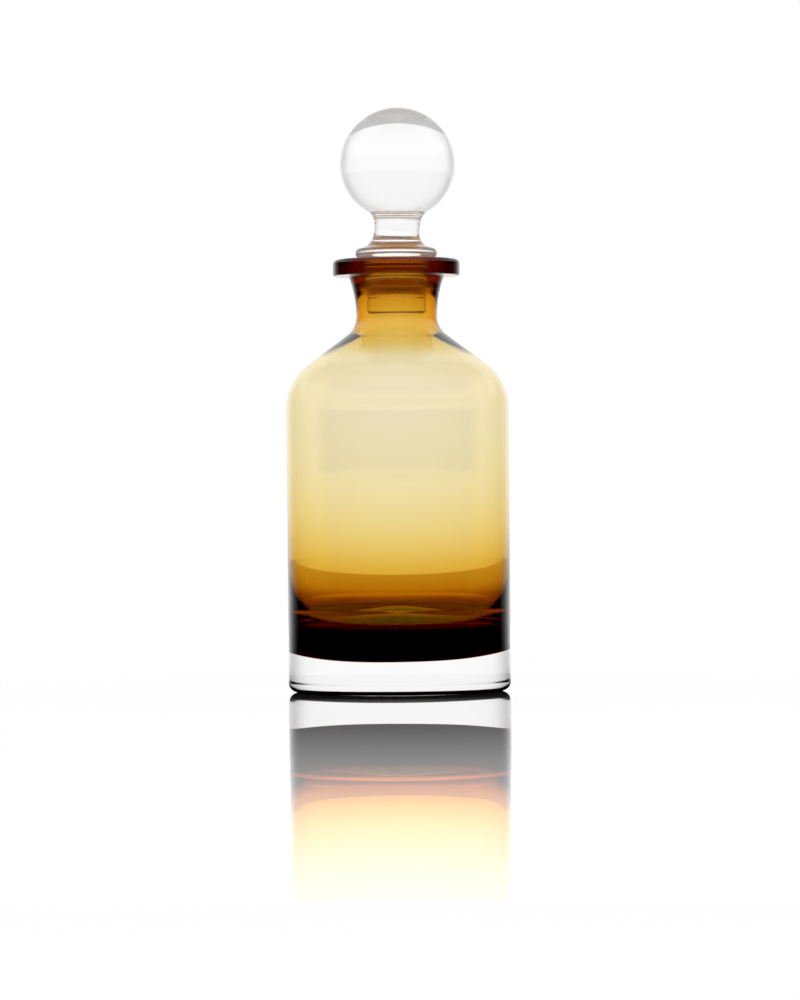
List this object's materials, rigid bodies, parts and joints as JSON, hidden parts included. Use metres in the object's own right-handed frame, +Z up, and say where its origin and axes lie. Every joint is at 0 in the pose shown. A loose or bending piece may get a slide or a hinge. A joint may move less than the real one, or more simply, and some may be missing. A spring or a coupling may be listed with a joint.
{
  "type": "decanter",
  "caption": "Round glass decanter: amber inside, clear casing and heavy clear foot, flanged lip, and a lift-out ball stopper.",
  "frame": {"origin": "centre of the foot's standing ring, on the surface that the decanter stands on", "axes": "+Z up along the bottle's turning axis, the way the stopper lifts out; X and Y are free, as the shape is round"},
  "size_m": [0.1, 0.1, 0.2624],
  "materials": {
    "clear_glass": "clear, fire-polished",
    "amber_glass": "transparent amber, fire-polished",
    "dark_amber_glass": "thick amber, polished",
    "ground_glass": "clear, finely ground"
  },
  "bodies": {
    "bottle": {"clear_foot": "clear_glass", "clear_casing": "clear_glass", "amber_liner": "amber_glass", "amber_lip": "dark_amber_glass"},
    "stopper": {"stopper_plug": "ground_glass", "stopper_collar": "clear_glass", "stopper_stem": "clear_glass", "stopper_ball": "clear_glass"}
  },
  "joints": [
    {"name": "stopper_lift", "type": "slide", "parent": "bottle", "child": "stopper", "axis": [0, 0, 1], "range_m": [0, 0.04]}
  ]
}
